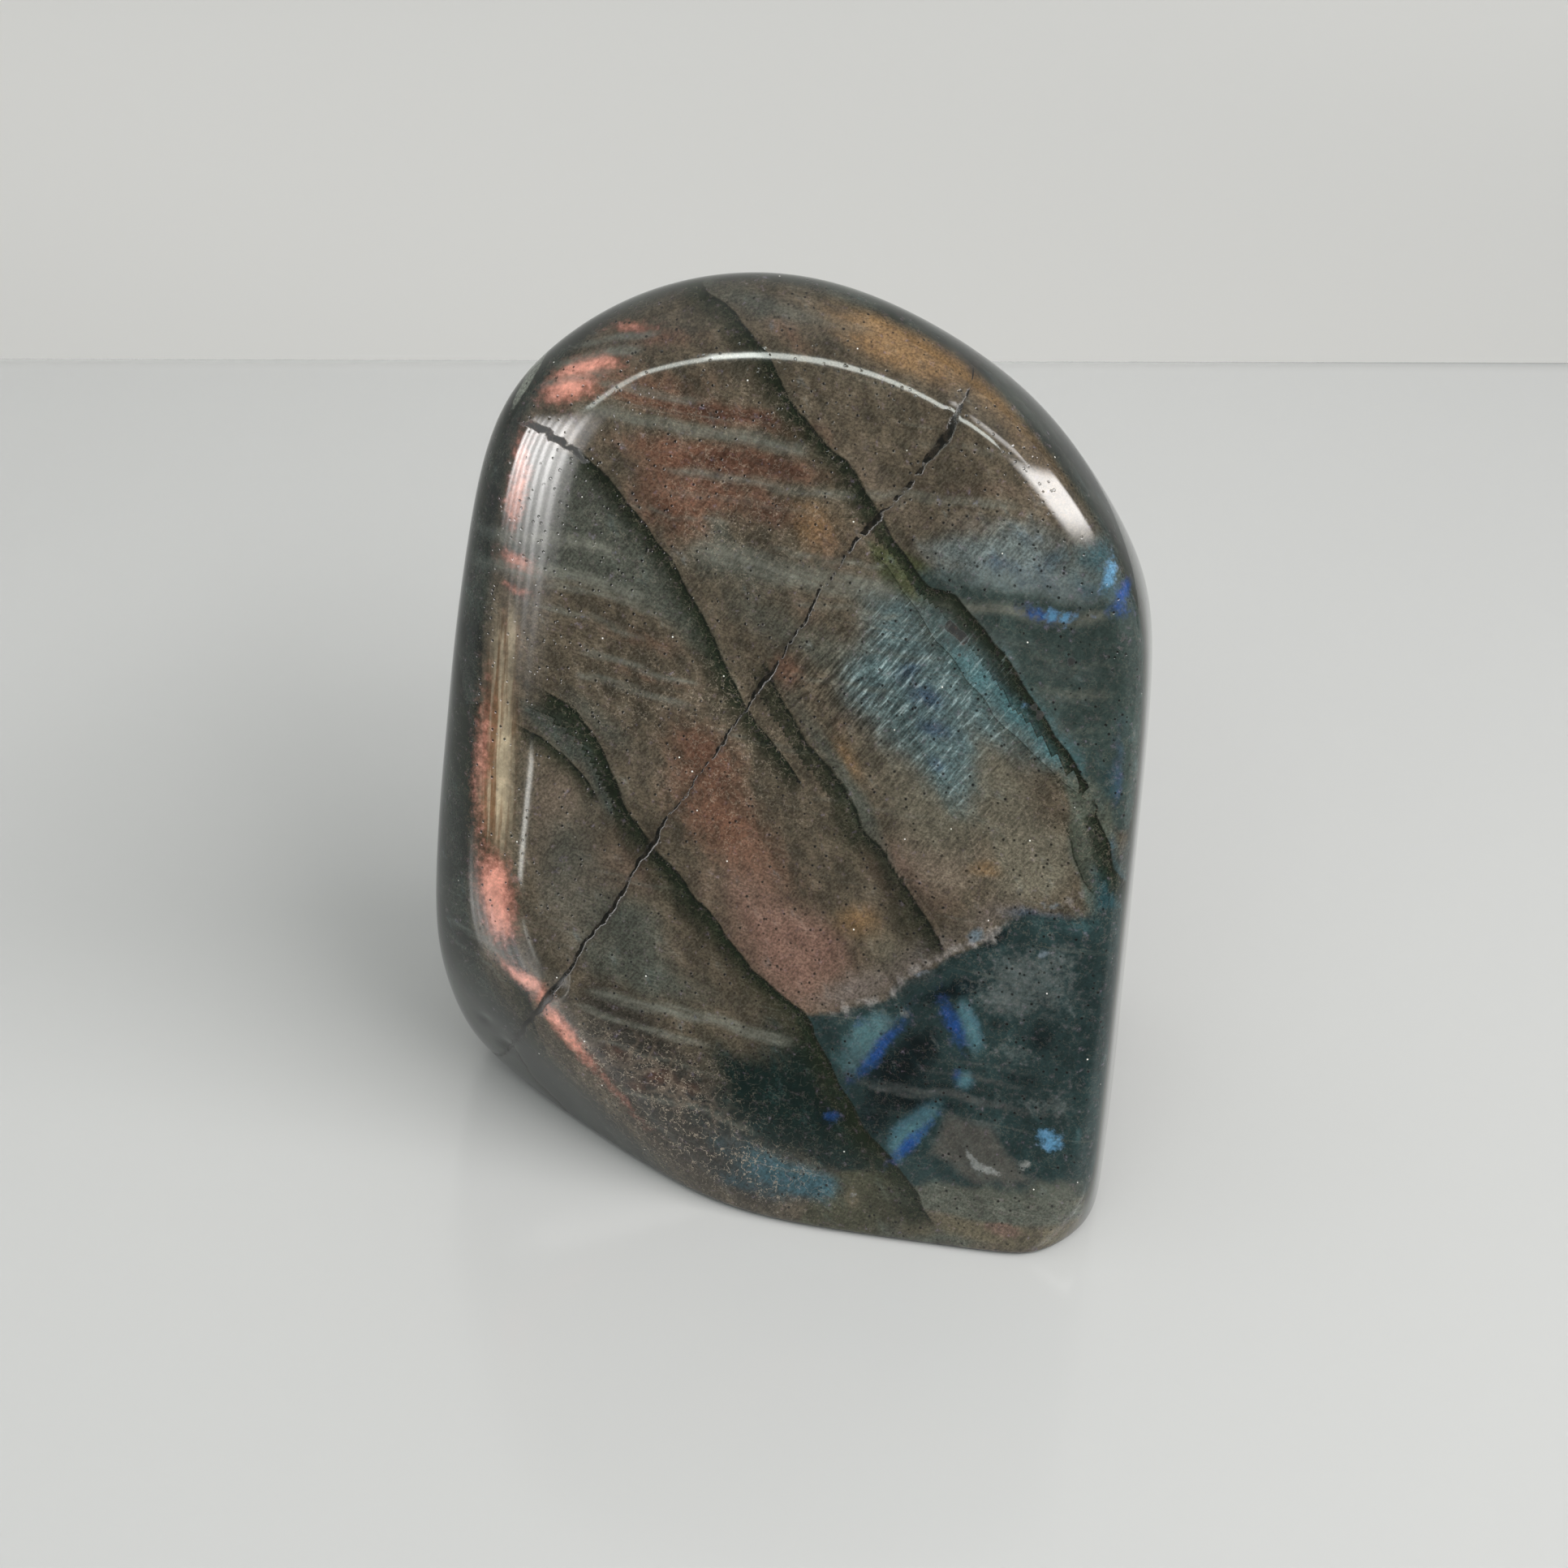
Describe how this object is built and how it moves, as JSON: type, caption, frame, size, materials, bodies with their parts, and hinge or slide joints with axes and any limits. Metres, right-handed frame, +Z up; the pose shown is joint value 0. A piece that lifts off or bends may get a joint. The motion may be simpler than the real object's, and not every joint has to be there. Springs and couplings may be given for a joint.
{
  "type": "polished labradorite freeform stone",
  "caption": "Free-standing labradorite stone, hand-ground and polished all round, leaning back a little on a flat sawn base; copper, green and blue sheen",
  "frame": {"origin": "middle of the flat sawn base's side of the box, on the surface that the stone stands on", "axes": "+Z up, the broad polished front faces -Y, +X to the right seen from the front"},
  "size_m": [0.079, 0.0602, 0.0929],
  "materials": {
    "labradorite": "polished, copper to grey-brown body with dark green veins, grey-green twinning stripes, blue and teal flashes, peppered with fine dark specks"
  },
  "bodies": {
    "root": {"labradorite_stone": "labradorite"}
  },
  "joints": []
}
